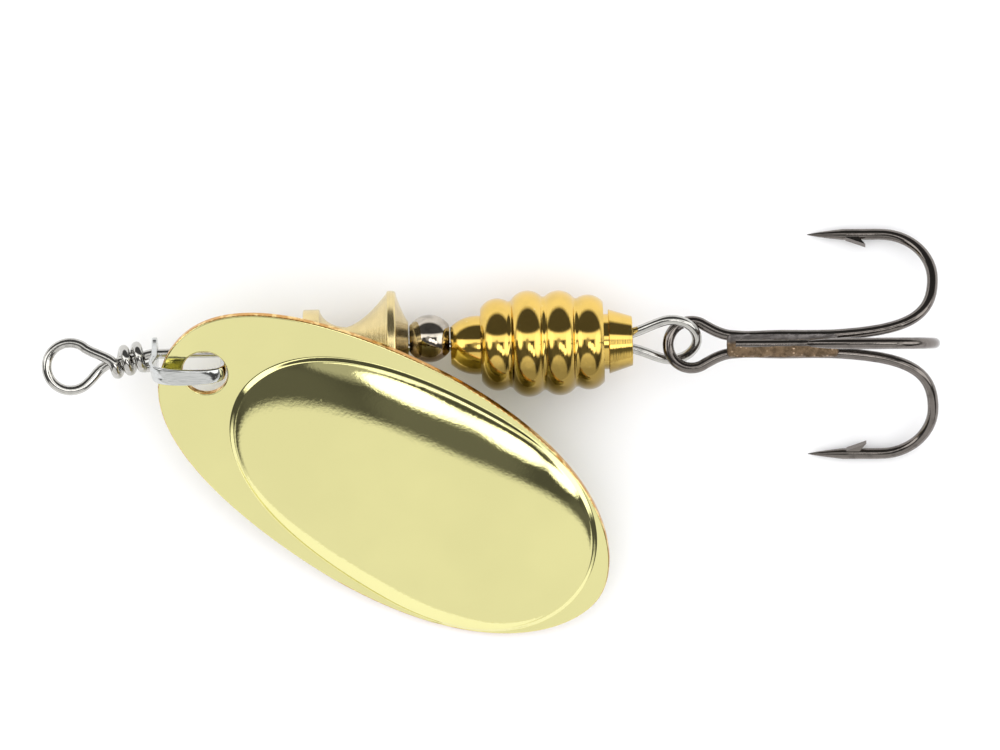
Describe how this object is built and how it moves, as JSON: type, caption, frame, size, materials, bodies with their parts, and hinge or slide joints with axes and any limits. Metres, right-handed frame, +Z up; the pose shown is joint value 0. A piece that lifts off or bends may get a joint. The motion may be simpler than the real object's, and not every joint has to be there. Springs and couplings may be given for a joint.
{
  "type": "inline spinner",
  "caption": "Fishing lure strung on a wire: an oval gold blade on a clevis turns round a brass bell, a bead and a ribbed body, with a treble hook behind.",
  "frame": {"origin": "on the shaft axis in the middle of the line-tie eye", "axes": "+X along the shaft from the line-tie eye to the hook, +Z up from the surface that the lure lies on"},
  "size_m": [0.0809, 0.0358, 0.0183],
  "materials": {
    "spring_wire": "bright drawn stainless wire",
    "clevis_steel": "polished stamped strip",
    "gold_plate": "polished pale gold plate",
    "polished_brass": "polished turned brass",
    "turned_brass": "satin turned brass with fine tool marks",
    "polished_steel": "mirror polished",
    "black_nickel": "black nickel plate, glossy",
    "solder": "rough plated solder"
  },
  "bodies": {
    "shaft": {"wire_shaft": "spring_wire"},
    "clevis": {"clevis": "clevis_steel"},
    "blade": {"blade": "gold_plate"},
    "bearing_bead": {"bearing_bead": "polished_brass"},
    "bell": {"bell": "turned_brass"},
    "steel_bead": {"steel_bead": "polished_steel"},
    "ribbed_body": {"ribbed_body": "polished_brass"},
    "treble_hook": {"double_hook": "black_nickel", "single_hook": "black_nickel", "hook_solder": "solder"}
  },
  "joints": [
    {"name": "clevis_spin", "type": "hinge", "parent": "shaft", "child": "clevis", "pos_m": [0.01084, 0, 0], "axis": [1, 0, 0], "continuous": true},
    {"name": "blade_swing", "type": "hinge", "parent": "clevis", "child": "blade", "pos_m": [0.00919, -0.00159, 0.00356], "axis": [0, -0.9135, -0.4067], "range_deg": [0, 120]},
    {"name": "bearing_bead_spin", "type": "hinge", "parent": "shaft", "child": "bearing_bead", "pos_m": [0.01682, 0, 0], "axis": [1, 0, 0], "continuous": true},
    {"name": "bell_spin", "type": "hinge", "parent": "shaft", "child": "bell", "pos_m": [0.02582, 0, 0], "axis": [1, 0, 0], "continuous": true},
    {"name": "steel_bead_spin", "type": "hinge", "parent": "shaft", "child": "steel_bead", "pos_m": [0.03242, 0.0007, 0], "axis": [1, 0, 0], "continuous": true},
    {"name": "ribbed_body_spin", "type": "hinge", "parent": "shaft", "child": "ribbed_body", "pos_m": [0.0425, 0, 0], "axis": [1, 0, 0], "continuous": true},
    {"name": "hook_swing", "type": "hinge", "parent": "shaft", "child": "treble_hook", "pos_m": [0.05598, -0.0005, 0], "axis": [-0.048, 0, 0.9988], "range_deg": [-80, 80]}
  ]
}
